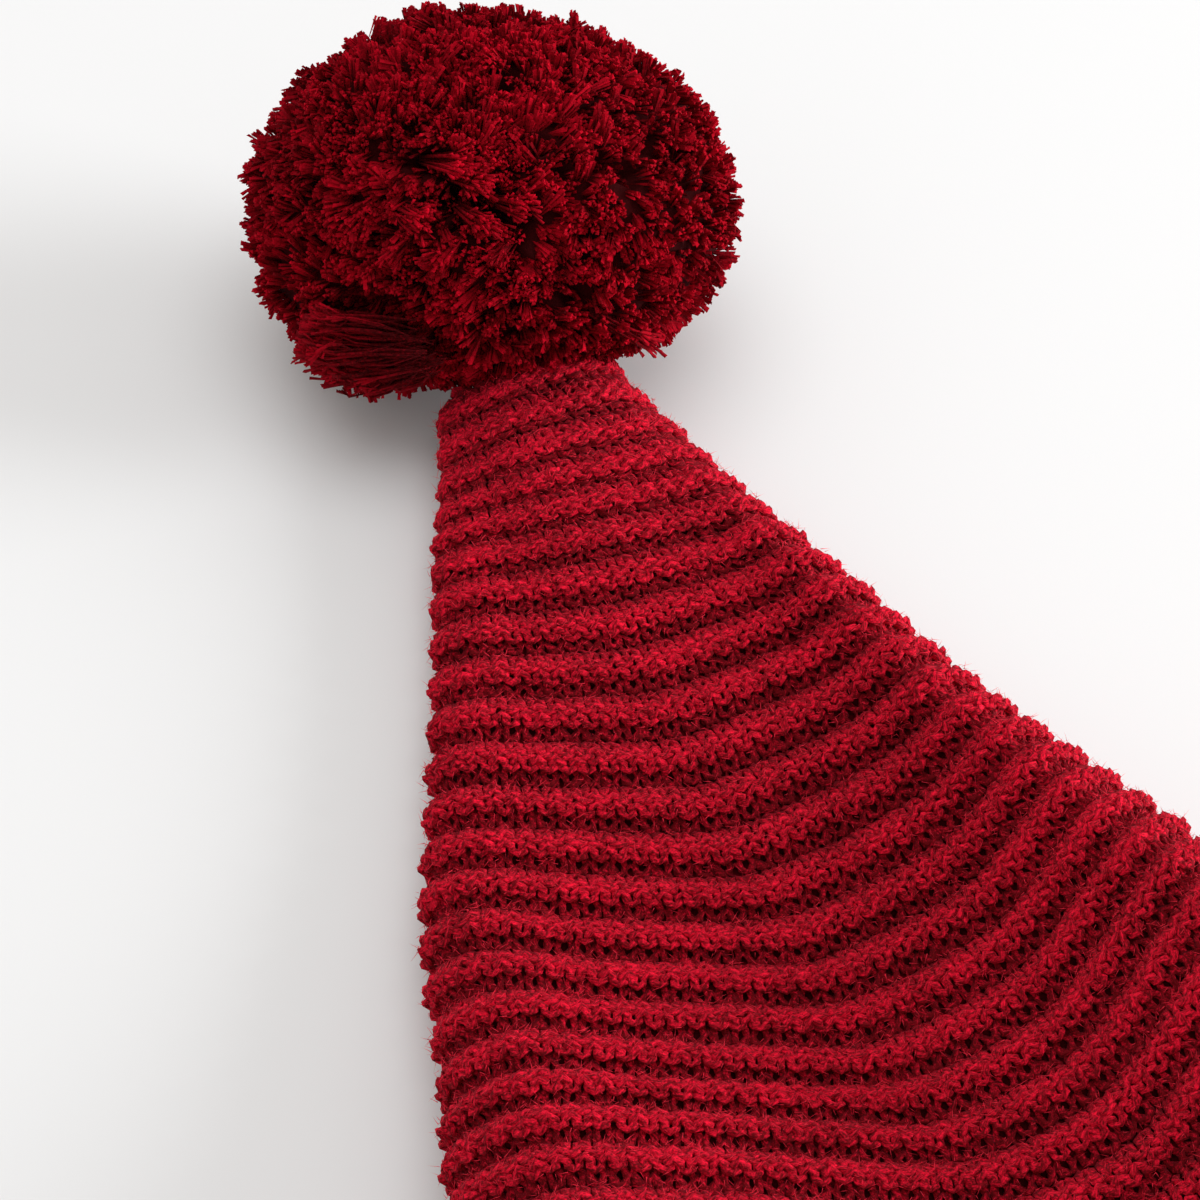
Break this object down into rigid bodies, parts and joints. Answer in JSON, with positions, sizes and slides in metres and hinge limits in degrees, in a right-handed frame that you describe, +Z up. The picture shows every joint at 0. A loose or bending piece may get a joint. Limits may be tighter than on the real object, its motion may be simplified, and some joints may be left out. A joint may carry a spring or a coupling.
{
  "type": "santa hat",
  "caption": "Knitted welted hat lying flat: a long hollow cone, gathered shut at its tip under a yarn pompom and open at its plain brim.",
  "frame": {"origin": "centre of the bounding box, at its bottom, where the hat lies on the surface", "axes": "+Y from the open brim to the tip and the pompom, +Z up from the surface, +X to the right seen with the tip away"},
  "size_m": [0.1594, 0.3218, 0.0618],
  "materials": {
    "knit": "matte",
    "pompom_yarn": "matte"
  },
  "bodies": {
    "root": {"crown": "knit", "pompom": "pompom_yarn"}
  },
  "joints": []
}
